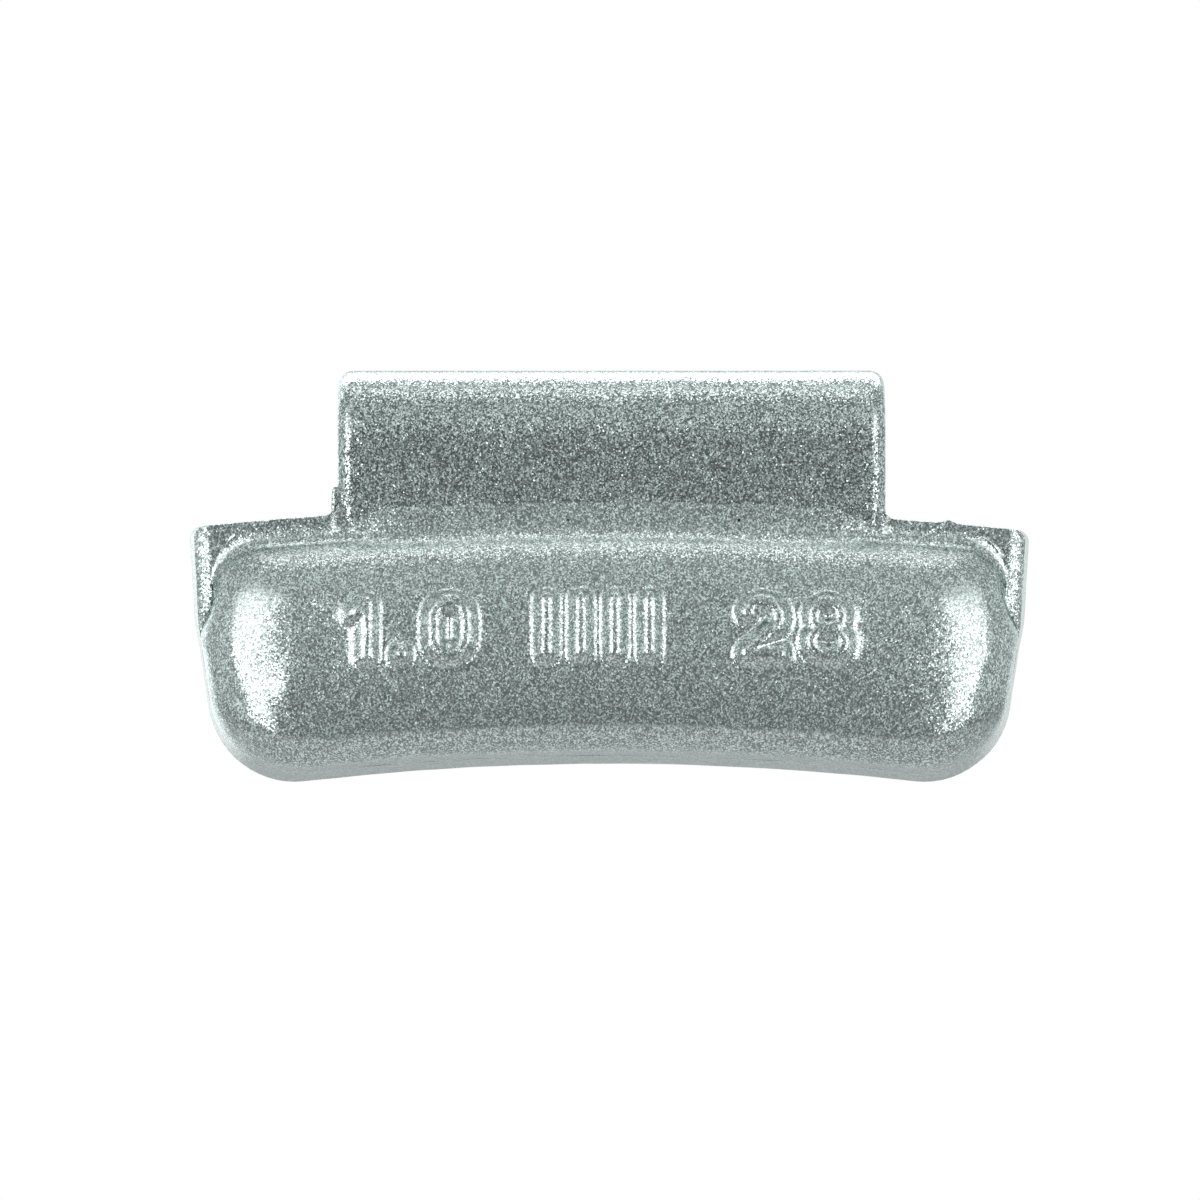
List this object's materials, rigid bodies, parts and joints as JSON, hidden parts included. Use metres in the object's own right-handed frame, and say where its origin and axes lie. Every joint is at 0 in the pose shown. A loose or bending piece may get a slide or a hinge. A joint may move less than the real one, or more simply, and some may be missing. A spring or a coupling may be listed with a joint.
{
  "type": "clip-on wheel balance weight",
  "caption": "Curved cast balance weight with a bent spring-steel clip that grips the flange of an alloy wheel.",
  "frame": {"origin": "centre of the clip's bend, on the bend's own axis, midway along the clip", "axes": "+X along the rim, +Y into the wheel (the weight's face looks along -Y), +Z away from the hub"},
  "size_m": [0.0388, 0.0102, 0.0191],
  "materials": {
    "coated_lead": "silver metal-flake coat over cast lead alloy, semi-gloss, fine grain",
    "coated_steel": "the same silver metal-flake coat over bent spring steel"
  },
  "bodies": {
    "root": {"cast_weight": "coated_lead", "spring_clip": "coated_steel"}
  },
  "joints": []
}
